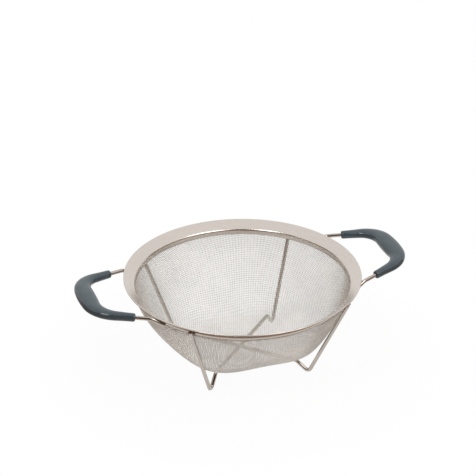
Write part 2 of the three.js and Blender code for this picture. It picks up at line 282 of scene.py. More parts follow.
def turned(outline: np.ndarray, angles: np.ndarray) -> np.ndarray:
    """Copies of a section turned about the Z axis.

    Args:
        outline: Section in (radius, height), clockwise where it is closed.
        angles: Angle of each copy.

    Returns:
        The copies, (copy, point, 3).
    """
    radius, height = outline.T
    height = np.broadcast_to(height, (len(angles), len(outline)))
    angles = angles[:, None]
    return np.stack([radius * np.cos(angles), radius * np.sin(angles), height], axis=-1)


def about_z(points: np.ndarray, angle: float) -> np.ndarray:
    """Points turned about the Z axis."""
    c, s = math.cos(angle), math.sin(angle)
    return points @ np.array([[c, s, 0], [-s, c, 0], [0, 0, 1]])


class BentWire:
    """Line of a wire: straight runs joined by round bends."""

    step = 0.5 * MM

    def __init__(self, corners: np.ndarray, bends: list[float]) -> None:
        """Lay out the line.

        Args:
            corners: Corner points, from end to end.
            bends: Bend radius at each inner corner.
        """
        points = [corners[:1]]
        for before, corner, after, bend in zip(corners, corners[1:], corners[2:], bends):
            into, out = normalised(corner - before), normalised(after - corner)
            turn = math.acos(float(np.clip(into @ out, -1, 1)))
            start = corner - into * bend * math.tan(turn / 2)
            inward = normalised(out - into * (into @ out))
            angles = np.linspace(0, turn, max(2, math.ceil(bend * turn / self.step)))[:, None]
            points.append(start + bend * (np.sin(angles) * into + (1 - np.cos(angles)) * inward))
        points.append(corners[-1:])
        rough = np.concatenate(points)
        reach = distances_along(rough)
        self.length = float(reach[-1])
        self.distances = np.linspace(0, self.length, round(self.length / self.step))
        self.points = np.stack([np.interp(self.distances, reach, axis) for axis in rough.T], axis=-1)
        self.tangents = normalised(np.gradient(self.points, axis=0))

    def frames(self, distances: np.ndarray, up: np.ndarray) -> tuple[np.ndarray, np.ndarray, np.ndarray]:
        """Places and cross directions along the wire.

        Args:
            distances: Distances from the wire's start.
            up: Direction that the sections stand up in.

        Returns:
            The points, and each section's sideways and upward direction.
        """
        points, tangents = (
            np.stack([np.interp(distances, self.distances, axis) for axis in rows.T], axis=-1)
            for rows in (self.points, self.tangents)
        )
        side = normalised(np.cross(tangents, up))
        return points, side, np.cross(normalised(tangents), side)

    def rings(self, radius: float, up: np.ndarray, sides: int = 18) -> np.ndarray:
        """Rings of a round wire whose cut ends are slightly rounded.

        Args:
            radius: Radius of the wire.
            up: Direction that the sections stand up in.
            sides: Points in each ring.

        Returns:
            The rings.
        """
        edge, edge_rows = 0.4 * MM, 4
        turns = np.linspace(0, math.pi / 2, edge_rows)
        inset = edge * (1 - np.sin(turns))
        near = edge * (1 - np.cos(turns))
        middle = self.distances[(self.distances > edge) & (self.distances < self.length - edge)]
        distances = np.concatenate([near, middle, self.length - near[::-1]])
        radii = radius - np.concatenate([inset, np.zeros(len(middle)), inset[::-1]])
        points, side, top = self.frames(distances, up)
        return points[:, None] + radii[:, None, None] * circle(side, top, sides)


def weld_bead(centre: np.ndarray, axis: np.ndarray, length: float, radius: float) -> np.ndarray:
    """Rings of a short run of weld with its ripples.

    Args:
        centre: Middle of the bead.
        axis: Direction that the weld ran in.
        length: Length of the bead.
        radius: Half of its width.

    Returns:
        The rings.
    """
    rows, sides, ripples, ripple_depth = 15, 12, 4, 0.08
    # No weld runs in this direction, and its ends stop just short of a point
    off_axis, end_turn = [0.31, 0.17, 0.94], 0.49
    axis = normalised(axis)
    side = normalised(np.cross(axis, off_axis))
    top = np.cross(axis, side)
    share = np.sin(np.linspace(-end_turn, end_turn, rows) * math.pi)
    widths = radius * np.sqrt(1 - share**2) * (1 + ripple_depth * np.cos(2 * math.pi * ripples * share))
    along = (share * length / 2)[:, None, None] * axis
    return centre + along + widths[:, None, None] * circle(side, top, sides)


# Finishes


def linear(colour: str) -> tuple[float, float, float, float]:
    """An sRGB hex colour as linear RGBA."""
    parts = [int(colour[i : i + 2], 16) / 255 for i in (0, 2, 4)]
    red, green, blue = (c / 12.92 if c <= 0.04045 else ((c + 0.055) / 1.055) ** 2.4 for c in parts)
    return red, green, blue, 1.0


def add_node(
    tree: bpy.types.NodeTree, kind: str, settings: dict | None = None, links: dict | None = None
) -> bpy.types.Node:
    """Add a shader node.

    Args:
        tree: Node tree that it joins.
        kind: Blender's name for the node.
        settings: Values by input name or number, or by property.
        links: Output sockets by input name or number.

    Returns:
        The new node.
    """
    node = tree.nodes.new(kind)
    for key, value in (settings or {}).items():
        if isinstance(key, int) or key in node.inputs:
            node.inputs[key].default_value = value
        else:
            setattr(node, key, value)
    for key, socket in (links or {}).items():
        tree.links.new(socket, node.inputs[key])
    return node


def new_tree(name: str) -> tuple[bpy.types.Material, bpy.types.NodeTree]:
    """An empty node material and its tree."""
    material = bpy.data.materials.new(name)
    material.use_nodes = True
    material.node_tree.nodes.clear()
    return material, material.node_tree


@dataclass(frozen=True)
class Finish:
    """What every finish has: two tones and a roughness that follow noise."""

    name: str
    low: str
    high: str
    roughness: float
    roughness_spread: tuple[float, float]

    def surface(
        self,
        tone: bpy.types.NodeSocket,
        rough: bpy.types.NodeSocket,
        stops: tuple[float, float],
        settings: dict,
        links: dict | None = None,
    ) -> None:
        """Set the tones and the roughness, and end the tree.

        Args:
            tone: Noise that the tones follow.
            rough: Noise that the roughness follows.
            stops: Values of the first noise that the two tones are set at.
            settings: Other values of the shader.
            links: Other output sockets, by the shader's input.
        """
        tree = tone.id_data
        colour = add_node(tree, "ShaderNodeValToRGB", links={"Fac": tone})
        for element, position, shade in zip(colour.color_ramp.elements, stops, (self.low, self.high)):
            element.position = position
            element.color = linear(shade)
        low, high = (self.roughness + change for change in self.roughness_spread)
        spread = add_node(tree, "ShaderNodeMapRange", {"To Min": low, "To Max": high}, {"Value": rough})
        both = {"Base Color": colour.outputs["Color"], "Roughness": spread.outputs["Result"]}
        shader = add_node(tree, "ShaderNodeBsdfPrincipled", settings, both | (links or {}))
        add_node(tree, "ShaderNodeOutputMaterial", links={"Surface": shader.outputs[0]})


@dataclass(frozen=True)
class BrushedSteel(Finish):
    """Stainless sheet, pressed and brushed round the ring: warm satin grey with fine turning lines."""

    name: str = "stainless_steel_brushed"
    low: str = "CCC4BC"
    high: str = "D5CDC5"
    roughness: float = 0.22
    roughness_spread: tuple[float, float] = (-0.05, 0.06)
    bump: float = 0.08
    bump_depth: float = 0.02 * MM
    # Brush lines are typically 0.1 mm apart, and are drawn coarser so that they show at this size
    line_spacing: float = 0.7 * MM
    lines_per_radian: float = 9.0

    def material(self) -> bpy.types.Material:
        """Make the material, with lines that run round the Z axis."""
        material, tree = new_tree(self.name)
        place = add_node(tree, "ShaderNodeTexCoord").outputs["Object"]
        split = add_node(tree, "ShaderNodeSeparateXYZ", links={0: place})
        flat = add_node(
            tree, "ShaderNodeCombineXYZ", links={"X": split.outputs["X"], "Y": split.outputs["Y"]}
        )
        radius = add_node(tree, "ShaderNodeVectorMath", {"operation": "LENGTH"}, {0: flat.outputs[0]})
        angle = add_node(
            tree, "ShaderNodeMath", {"operation": "ARCTAN2"}, {0: split.outputs["Y"], 1: split.outputs["X"]}
        )
        across = add_node(
            tree, "ShaderNodeMath", {"operation": "ADD"}, {0: radius.outputs["Value"], 1: split.outputs["Z"]}
        )
        lines = add_node(
            tree, "ShaderNodeCombineXYZ", links={"X": across.outputs[0], "Y": angle.outputs[0]}
        )
        stretch = add_node(
            tree,
            "ShaderNodeVectorMath",
            {"operation": "MULTIPLY", 1: (1 / self.line_spacing, self.lines_per_radian, 1.0)},
            {0: lines.outputs[0]},
        )
        brush = add_node(
            tree, "ShaderNodeTexNoise", {"Scale": 1.0, "Detail": 3.0}, {"Vector": stretch.outputs[0]}
        )
        noise = brush.outputs["Fac"]
        bump = add_node(
            tree, "ShaderNodeBump", {"Strength": self.bump, "Distance": self.bump_depth}, {"Height": noise}
        )
        self.surface(noise, noise, NOISE_STOPS, {"Metallic": 1.0}, {"Normal": bump.outputs["Normal"]})
        return material


@dataclass(frozen=True)
class DrawnWire(Finish):
    """Stainless wire pulled through a die: bright, with fine scores along its length."""

    name: str = "stainless_wire_drawn"
    low: str = "A89F97"
    high: str = "C6BEB6"
    roughness: float = 0.1
    roughness_spread: tuple[float, float] = (-0.06, 0.08)
    # Die scores are typically 0.05 mm apart, and are drawn coarser so that they show at this size
    scores_around: float = 14.0
    score_length: float = 25 * MM

    def material(self) -> bpy.types.Material:
        """Make the material, with scores that follow each piece's own length."""
        material, tree = new_tree(self.name)
        place = add_node(tree, "ShaderNodeTexCoord").outputs["UV"]
        stretch = add_node(
            tree,
            "ShaderNodeVectorMath",
            {"operation": "MULTIPLY", 1: (self.scores_around, 1 / self.score_length, 1.0)},
            {0: place},
        )
        scores = add_node(
            tree, "ShaderNodeTexNoise", {"Scale": 1.0, "Detail": 4.0}, {"Vector": stretch.outputs[0]}
        )
        noise = scores.outputs["Fac"]
        self.surface(noise, noise, NOISE_STOPS, {"Metallic": 1.0})
        return material


@dataclass(frozen=True)
class WovenWire(Finish):
    """Annealed stainless wire woven into cloth: soft grey, a little uneven from drawing and pressing."""

    name: str = "stainless_wire_cloth_woven"
    low: str = "C7C2BB"
    high: str = "E1DCD5"
    roughness: float = 0.34
    roughness_spread: tuple[float, float] = (-0.06, 0.06)
    # Pressing leaves patches some centimetres wide, and each wire has marks a few millimetres long
    patch: float = 30 * MM
    mark: float = 3 * MM
    # Sums of both noises that the two tones are set at
    tone_range: tuple[float, float] = (0.7, 1.3)

    def material(self) -> bpy.types.Material:
        """Make the material."""
        material, tree = new_tree(self.name)
        place = add_node(tree, "ShaderNodeTexCoord").outputs["Object"]
        patches, marks = (
            add_node(tree, "ShaderNodeTexNoise", {"Scale": 1 / size, "Detail": 1.0}, {"Vector": place})
            for size in (self.patch, self.mark)
        )
        noises = {0: patches.outputs["Fac"], 1: marks.outputs["Fac"]}
        both = add_node(tree, "ShaderNodeMath", {"operation": "ADD"}, noises)
        low, high = self.tone_range
        tone = add_node(
            tree, "ShaderNodeMapRange", {"From Min": low, "From Max": high}, {"Value": both.outputs[0]}
        )
        self.surface(tone.outputs["Result"], marks.outputs["Fac"], (0.0, 1.0), {"Metallic": 1.0})
        return material


@dataclass(frozen=True)
class MouldedPlastic(Finish):
    """Plastic, taken as polypropylene, moulded in a polished tool: slate blue, glossy, faintly uneven."""

    name: str = "polypropylene_moulded_gloss"
    low: str = "3C4950"
    high: str = "47545B"
    roughness: float = 0.14
    roughness_spread: tuple[float, float] = (-0.04, 0.06)
    ior: float = 1.49
    bump: float = 0.06
    bump_depth: float = 0.02 * MM
    # Waves of sink and flow are typically a centimetre wide, and a tool's grain half a millimetre
    flow: float = 11 * MM
    grain: float = 0.5 * MM

    def material(self) -> bpy.types.Material:
        """Make the material."""
        material, tree = new_tree(self.name)
        place = add_node(tree, "ShaderNodeTexCoord").outputs["Object"]
        flow, grain = (
            add_node(tree, "ShaderNodeTexNoise", {"Scale": 1 / size, "Detail": 2.0}, {"Vector": place})
            for size in (self.flow, self.grain)
        )
        bump = add_node(
            tree,
            "ShaderNodeBump",
            {"Strength": self.bump, "Distance": self.bump_depth},
            {"Height": grain.outputs["Fac"]},
        )
        noise = flow.outputs["Fac"]
        self.surface(noise, noise, NOISE_STOPS, {"IOR": self.ior}, {"Normal": bump.outputs["Normal"]})
        return material


# Sub-assemblies


@dataclass
class Rim:
    """Pressed ring with a turned-down lip and an upright collar, and the band that clamps the cloth to it."""

    radius: float
    top: float
    sheet: float = 0.8 * MM
    flange_width: float = 11.8 * MM
    flange_slope: float = math.radians(34)
    lip_bend: float = 0.3 * MM
    lip_drop: float = 0.6 * MM
    collar_bend: float = 2.5 * MM
    collar_drop: float = 3.9 * MM
    cloth_room: float = 0.9 * MM
    clamp_sheet: float = 0.8 * MM
    clamp_height: float = 2.6 * MM
    edge: float = 0.3 * MM
    divisions: int = 240
    bend_steps: int = 12

    def __post_init__(self) -> None:
        """Work out the section from the sizes."""
        half = self.sheet / 2
        self.collar_inside = self.radius - self.flange_width
        self.flange_normal = math.pi / 2 + self.flange_slope
        self.lip_centre = np.array([self.radius - half - self.lip_bend, self.top - half - self.lip_bend])
        self.lip_bottom = self.lip_centre[1] - self.lip_drop
        self.flange_outer = self.lip_centre + self.lip_bend * unit(self.flange_normal)
        bend_radius = self.collar_inside + half + self.collar_bend
        inner_radius = bend_radius + self.collar_bend * math.cos(self.flange_normal)
        bend_height = self.flange_height(inner_radius) - self.collar_bend * math.sin(self.flange_normal)
        self.collar_centre = np.array([bend_radius, bend_height])
        self.collar_bottom = bend_height - self.collar_drop
        cloth_inside = self.collar_inside + self.sheet + CLEARANCE
        self.cloth_radius = cloth_inside + self.cloth_room / 2
        self.clamp_inside = cloth_inside + self.cloth_room + CLEARANCE
        self.clamp_outside = self.clamp_inside + self.clamp_sheet

    def flange_height(self, radius: float) -> float:
        """Height of the flange's middle at a radius."""
        return self.flange_outer[1] - (self.flange_outer[0] - radius) * math.tan(self.flange_slope)

    def under_flange(self, radius: float, gap: float) -> float:
        """Height of a place at a radius that lies a gap away from the flange's underside."""
        return self.flange_height(radius) - (self.sheet / 2 + gap) / math.cos(self.flange_slope)

    def build(self, finish: BrushedSteel) -> None:
        """Turn the ring and the clamp band.

        Args:
            finish: Finish of both.
        """
        material = finish.material()
        around = np.arange(self.divisions) * 2 * math.pi / self.divisions
        lip = arc(self.lip_centre, self.lip_bend, 0, self.flange_normal, self.bend_steps)
        collar = arc(self.collar_centre, self.collar_bend, self.flange_normal, math.pi, self.bend_steps)
        drop = collar[-1] - [0, self.collar_drop - self.edge]
        outline = sheet_outline(np.vstack([lip, collar, drop]), self.sheet, self.edge)
        ring = Skin()
        ring.add(turned(outline, around), True)
        ring.piece("rim_flange_pressed", material, "brushed_rim", "rim_flange")

        top = self.under_flange(self.clamp_inside, CLEARANCE)
        heights = np.linspace(top - self.clamp_height + self.edge, top - self.edge, 3)
        middle = np.column_stack([np.full(3, self.clamp_inside + self.clamp_sheet / 2), heights])
        band = Skin()
        band.add(turned(sheet_outline(middle, self.clamp_sheet, self.edge), around), True)
        band.piece("mesh_clamp_band", material, "brushed_rim", "mesh_clamp_ring")


@dataclass
class Legs:
    """Two wires, each bent into a pair of legs with a crossbar, and welded under the flange."""

    rim: Rim
    foot_radius: float = 73 * MM
    foot_bend: float = 4 * MM
    foot_flat: float = 0.4 * MM
    knee_step: float = 14 * MM
    knee_bend: float = 5 * MM
    crossbar: float = 9.4 * MM
    bead_length: float = 5.5 * MM
    bead_radius: float = 1.5 * MM
    bead_drop: float = 1.6 * WIRE_RADIUS
    bead_beside: float = 0.9 * WIRE_RADIUS
    crossing_bead_radius: float = 0.9 * MM

    def __post_init__(self) -> None:
        """Work out the line of a leg from the sizes."""
        rim = self.rim
        cloth_top = np.array([rim.cloth_radius, rim.collar_bottom])
        cloth_to_leg = rim.cloth_room / 2 + CLEARANCE + WIRE_RADIUS
        self.foot_centre = np.array([self.foot_radius, WIRE_RADIUS - self.foot_flat + self.foot_bend])
        self.angle = run_angle(cloth_top, -cloth_to_leg, self.foot_centre, -self.foot_bend)
        self.on_foot = self.foot_centre + self.foot_bend * unit(self.angle + math.pi / 2)
        self.upper_crossbar = self.crossbar + 2 * WIRE_RADIUS + CLEARANCE
        self.top = self.leg_top()

    def leg_top(self) -> np.ndarray:
        """Square-cut top of a leg, just under the sloping flange."""
        down = unit(self.rim.flange_normal + math.pi)
        under = self.rim.flange_outer + down * self.rim.sheet / 2
        slant = float(unit(self.angle) @ down)
        standoff = CLEARANCE + WIRE_RADIUS * math.sqrt(1 - slant**2)
        return self.on_foot - unit(self.angle) * ((self.on_foot - under) @ down - standoff) / slant

    def line(self, crossbar: float) -> BentWire:
        """Line of one wire in the plane of its two legs.

        Args:
            crossbar: Height of its crossbar.

        Returns:
            The wire, with its legs along the X axis.
        """
        knee_centre = np.array([self.foot_radius - self.knee_step, crossbar - self.knee_bend])
        knee_angle = run_angle(self.foot_centre, -self.foot_bend, knee_centre, self.knee_bend)
        knee_on_foot = self.foot_centre + self.foot_bend * unit(knee_angle + math.pi / 2)
        foot = meet(self.on_foot, self.angle, knee_on_foot, knee_angle)
        knee = meet(knee_on_foot, knee_angle, np.array([0, crossbar]), math.pi)
        half = np.array([[corner[0], 0, corner[1]] for corner in (self.top, foot, knee)])
        corners = np.concatenate([half, (half * [-1, 1, 1])[::-1]])
        return BentWire(corners, [self.foot_bend, self.knee_bend, self.knee_bend, self.foot_bend])

    def build(self, wire: DrawnWire, weld: DrawnWire) -> None:
        """Bend both wires and weld them to the rim and to each other.

        Args:
            wire: Finish of the wires.
            weld: Finish of the welds.
        """
        material, weld_material = wire.material(), weld.material()
        across = np.array([0.0, 1.0, 0.0])
        for pair, height, turn in (
            (LegPair.UPPER, self.upper_crossbar, math.pi / 4),
            (LegPair.LOWER, self.crossbar, -math.pi / 4),
        ):
            rings = self.line(height).rings(WIRE_RADIUS, across)
            # The table presses each foot flat
            rings[..., 2] = np.maximum(rings[..., 2], 0)
            bent = Skin()
            bent.add(about_z(rings, turn))
            bent.piece(f"leg_wire_{pair.value}_bent", material, "drawn_wire", f"leg_wire_{pair.value}")

        beads = Skin()
        run = np.array([unit(self.angle)[0], 0, unit(self.angle)[1]])
        corner = np.array([self.top[0], 0, self.top[1]]) + run * self.bead_drop
        for quarter in range(4):
            beside = corner + [0, -self.bead_beside, 0]
            turn = math.pi / 4 + quarter * math.pi / 2
            beads.add(about_z(weld_bead(beside, run, self.bead_length, self.bead_radius), turn))
        crossing = np.array([0, 0, (self.crossbar + self.upper_crossbar) / 2])
        along = np.array([1.0, 0, 0])
        beads.add(weld_bead(crossing, along, self.bead_length, self.crossing_bead_radius))
        beads.piece("leg_welds", weld_material, "drawn_wire")


@dataclass
class WireCloth:
    """Bowl of plain-woven wire, round at the rim and squarer towards the floor over the legs."""

    rim: Rim
    legs: Legs
    # The bowl's floor repeats about every 2 mm in the photograph, and the wire's radius is a guess
    pitch: float = 2.0 * MM
    wire_radius: float = 0.25 * MM
    turn: float = math.radians(-19.4)
    leg_side_fullness: float = 0.86
    leg_side_floor: float = 47 * MM
    open_side_lean: float = math.radians(12)
    open_side_straight: float = 30 * MM
    open_side_knee: float = 30 * MM
    open_side_floor: float = 39 * MM
    wire_sides: int = 5
    bands: int = 4
    section_count: int = 33
    arc_step: float = 0.25 * MM

    def __post_init__(self) -> None:
        """Tabulate the sections, from the one between the legs to the one over a leg."""
        self.top = np.array([self.rim.cloth_radius, self.rim.collar_bottom])
        under = self.legs.upper_crossbar + WIRE_RADIUS + CLEARANCE
        self.floor = under + self.rim.cloth_room / 2
        self.shares = np.linspace(0, 1, self.section_count)
        sections = [self.section(share) for share in self.shares]
        reaches = [distances_along(section) for section in sections]
        self.edges = np.array([reach[-1] for reach in reaches])
        arcs = np.arange(0, self.edges.max() + self.arc_step, self.arc_step)
        self.table = np.array(
            [[np.interp(arcs, reach, axis) for axis in s.T] for s, reach in zip(sections, reaches)]
        )

    def section(self, over_leg: float) -> np.ndarray:
        """Middle line of the cloth from the centre of the floor to its clamped edge.

        Args:
            over_leg: 0 between the legs, and 1 over a leg.

        Returns:
            Points in (radius, height).
        """
        steps = 60
        corner = meet(self.top, self.legs.angle, np.array([0, self.floor]), 0)
        over = bezier(
            [
                np.array([self.leg_side_floor, self.floor]),
                corner,
                self.top + (corner - self.top) * self.leg_side_fullness,
                self.top,
            ],
            steps,
        )
        between = bezier(
            [
                np.array([self.open_side_floor, self.floor]),
                np.array([self.open_side_floor + self.open_side_knee, self.floor]),
                self.top + self.open_side_straight * unit(-math.pi / 2 - self.open_side_lean),
                self.top,
            ],
            steps,
        )
        wall = between + (over - between) * over_leg
        return np.vstack([[0, self.floor], wall, [self.top[0], self.rim.collar_centre[1]]])

    def over_leg(self, cloth: np.ndarray) -> tuple[np.ndarray, np.ndarray]:
        """Azimuth of flat cloth points, and how far each lies over a leg, from 0 to 1."""
        azimuth = np.arctan2(cloth[:, 1], cloth[:, 0]) + self.turn
        return azimuth, (1 - np.cos(4 * azimuth)) / 2

    def inside(self, cloth: np.ndarray) -> np.ndarray:
        """Which points of the flat cloth lie inside its clamped edge."""
        share = self.over_leg(cloth)[1]
        return np.hypot(*cloth.T) < np.interp(share, self.shares, self.edges) - self.arc_step

    def pressed(self, cloth: np.ndarray) -> np.ndarray:
        """Place of flat cloth points on the bowl: each keeps its azimuth and its distance from the centre.

        Args:
            cloth: Points of the flat cloth, (n, 2).

        Returns:
            Points of the bowl's middle surface, (n, 3).
        """
        azimuth, share = self.over_leg(cloth)
        row = share * (len(self.shares) - 1)
        low_row = np.minimum(row.astype(int), len(self.shares) - 2)
        column = np.hypot(*cloth.T) / self.arc_step
        low_column = np.minimum(column.astype(int), self.table.shape[2] - 2)
        across, along = row - low_row, column - low_column
        place = np.zeros((2, len(cloth)))
        for i, part in ((0, 1 - across), (1, across)):
            for k, piece in ((0, 1 - along), (1, along)):
                place += part * piece * self.table[low_row + i, :, low_column + k].T
        radius, height = place
        return np.column_stack([radius * np.cos(azimuth), radius * np.sin(azimuth), height])

    def thread(self, kind: Thread, number: int) -> np.ndarray | None:
        """Rings of one wire of the cloth, which passes over and under the wires that cross it.

        Args:
            kind: Its direction.
            number: Its place, counted from the middle.

        Returns:
            The rings, or None where the cloth is too short for a wire.
        """
        half_count = math.ceil(self.edges.max() / self.pitch)
        along = np.arange(-2 * half_count, 2 * half_count + 1) * self.pitch / 2
        beside = np.full_like(along, (number + 0.5) * self.pitch)
        warp = kind is Thread.WARP
        cloth = np.column_stack([along, beside] if warp else [beside, along])
        kept = self.inside(cloth)
        if kept.sum() < 3:
            return None
        cloth, along = cloth[kept], along[kept]
        sign = (1 if warp else -1) * (-1) ** number
        height = sign * self.wire_radius * np.sin(math.pi * along / self.pitch)
        nudge = 0.1 * MM
        steps = [np.array([nudge, 0]), np.array([0, nudge])]
        first, second = (self.pressed(cloth + step) - self.pressed(cloth - step) for step in steps)
        normal = normalised(np.cross(first, second))
        points = self.pressed(cloth) + height[:, None] * normal
        tangent = normalised(np.gradient(points, axis=0))
        side = normalised(np.cross(tangent, normal))
        top = np.cross(tangent, side)
        return points[:, None] + self.wire_radius * circle(side, top, self.wire_sides)

    def build(self, finish: WovenWire) -> None:
        """Weave the bowl, in bands of neighbouring wires.

        Args:
            finish: Finish of the wires.
        """
        material = finish.material()
        half_count = math.ceil(self.edges.max() / self.pitch)
        numbers = np.array_split(np.arange(-half_count, half_count), self.bands)
        for kind in Thread:
            for i, band in enumerate(numbers, start=1):
                skin = Skin()
                for number in band:
                    rings = self.thread(kind, int(number))
                    if rings is not None:
                        skin.add(rings)
                skin.piece(f"cloth_{kind.value}_{i}", material, "woven_cloth", "mesh_bowl")


@dataclass
class Handles:
    """A wire bow welded under the flange on each side, with a grip moulded over it."""

    rim: Rim
    half_spread: float = 52 * MM
    taper: float = math.radians(20)
    reach: float = 40.5 * MM
    lift: float = 1.6 * MM
    pitch: float = math.radians(6)
    rise_bend: float = 12 * MM
    corner_bend: float = 26 * MM
    bare_wire: float = 19.2 * MM
    grip_end: float = 8.4 * MM
    finger_side: float = 8.3 * MM
    palm_side: float = 10.5 * MM
    grip_thickness: float = 10.2 * MM
    grip_swell: float = 65 * MM
    finger_side_spread: float = 0.65
    palm_side_spread: float = 1.1
    grip_edge: float = 2.0 * MM
    grip_mouth: float = 5.6 * MM
    mouth_depth: float = 3 * MM
    end_squareness: float = 2.0
    palm_squareness: float = 2.7
    grip_sides: int = 40
    grip_rows: int = 120
    edge_rows: int = 7
    bead_length: float = 7 * MM
    bead_radius: float = 1.4 * MM
    bead_lift: float = 0.5 * WIRE_RADIUS

    def __post_init__(self) -> None:
        """Lay out the right-hand bow from the sizes."""
        rim = self.rim
        arm = np.array([math.cos(self.taper), -math.sin(self.taper), 0])
        self.up = np.array([-math.sin(self.pitch), 0, math.cos(self.pitch)])
        lip = np.array([math.sqrt(rim.radius**2 - self.half_spread**2), self.half_spread, 0])
        inward = float(lip @ arm)
        lip[2] = rim.lip_bottom - (CLEARANCE + WIRE_RADIUS) / math.cos(rim.flange_slope)
        tuck_radius = rim.clamp_outside + WIRE_RADIUS
        tuck = inward - math.sqrt(inward**2 - rim.radius**2 + tuck_radius**2)
        tuck_height = rim.under_flange(rim.clamp_outside, CLEARANCE + WIRE_RADIUS)
        rise = (lip[2] - tuck_height) / tuck
        end = lip - arm * tuck
        end[2] = tuck_height
        bow = lip + arm * self.lift / rise
        bow[2] += self.lift
        depth = rim.radius + self.reach - bow[0]
        corner = bow + arm * depth / arm[0]
        corner[2] += depth * math.tan(self.pitch)
        half = np.array([end, bow, corner])
        corners = np.concatenate([half, (half * [1, -1, 1])[::-1]])
        self.wire = BentWire(corners, [self.rise_bend, self.corner_bend, self.corner_bend, self.rise_bend])
        self.grip_start = float(np.linalg.norm(end - lip)) + self.bare_wire
        self.weld_place = (end + lip) / 2

    def grip_rings(self) -> np.ndarray:
        """Rings of a grip: round at the mouths and swelling to a palm rest that is wider outside the bow."""
        end = self.grip_end / 2
        depth = end - self.grip_mouth / 2
        turns = np.linspace(0, math.pi / 2, self.edge_rows)
        near = self.grip_start + self.grip_edge * (1 - np.cos(turns))
        shrink = depth * (1 - np.sin(turns))
        far = self.wire.length - near[::-1]
        body = np.linspace(near[-1], far[0], self.grip_rows)[1:-1]
        distances = np.concatenate([near, body, far])
        shrinks = np.concatenate([shrink, np.zeros(len(body)), shrink[::-1]])
        from_middle = np.minimum(np.abs(distances - self.wire.length / 2) / self.grip_swell, 1)
        swell = (1 + np.cos(math.pi * from_middle)) / 2
        sizes = [
            end + (self.finger_side - end) * swell**self.finger_side_spread - shrinks,
            end + (self.palm_side - end) * swell**self.palm_side_spread - shrinks,
            end + (self.grip_thickness / 2 - end) * swell - shrinks,
        ]
        power = 2 / (self.end_squareness + (self.palm_squareness - self.end_squareness) * swell)

        # The hole round the wire, from its floor to the mouth, at each end
        hole = WIRE_RADIUS + CLEARANCE
        first = np.array([self.grip_start + self.mouth_depth, self.grip_start])
        distances = np.concatenate([first, distances, self.wire.length - first[::-1]])
        fingers, palm, thickness = (np.pad(size, 2, constant_values=hole)[:, None] for size in sizes)
        power = np.pad(power, 2, constant_values=1.0)

        angles = np.arange(self.grip_sides) * 2 * math.pi / self.grip_sides
        across, upward = (np.sign(f) * np.abs(f) ** power[:, None] for f in (np.cos(angles), np.sin(angles)))
        points, side, top = self.wire.frames(distances, self.up)
        width = np.where(across > 0, fingers, palm)
        offsets = (width * across)[..., None] * side[:, None] + (thickness * upward)[..., None] * top[:, None]
        return points[:, None] + offsets

    def build(self, wire: DrawnWire, weld: DrawnWire, plastic: MouldedPlastic) -> None:
        """Bend the wires, weld them under the flange and mould the grips.

        Args:
            wire: Finish of the wires.
            weld: Finish of the welds.
            plastic: Finish of the grips.
        """
        material, weld_material, grip_material = wire.material(), weld.material(), plastic.material()
        beads = Skin()
        run = self.wire.tangents[0]
        for side, turn in ((Side.RIGHT, 0.0), (Side.LEFT, math.pi)):
            bow = Skin()
            bow.add(about_z(self.wire.rings(WIRE_RADIUS, self.up), turn))
            bow.piece(f"handle_wire_{side.value}_bent", material, "drawn_wire", f"handle_wire_{side.value}")
            grip = Skin()
            grip.add(about_z(self.grip_rings(), turn))
            grip.piece(f"grip_{side.value}_moulded", grip_material, "slate_grip", f"grip_{side.value}")
            for mirror in (1, -1):
                flip = np.array([1, mirror, 1])
                place = (self.weld_place + [0, 0, self.bead_lift]) * flip
                bead = weld_bead(place, run * flip, self.bead_length, self.bead_radius)
                beads.add(about_z(bead, turn))
        beads.piece("handle_welds", weld_material, "drawn_wire")


# Studio


@dataclass(frozen=True)
class Softbox:
    """A square lamp: its centre and side in metres, and its power in watts."""

    name: str
    place: tuple[float, float, float]
    size: float
    power: float


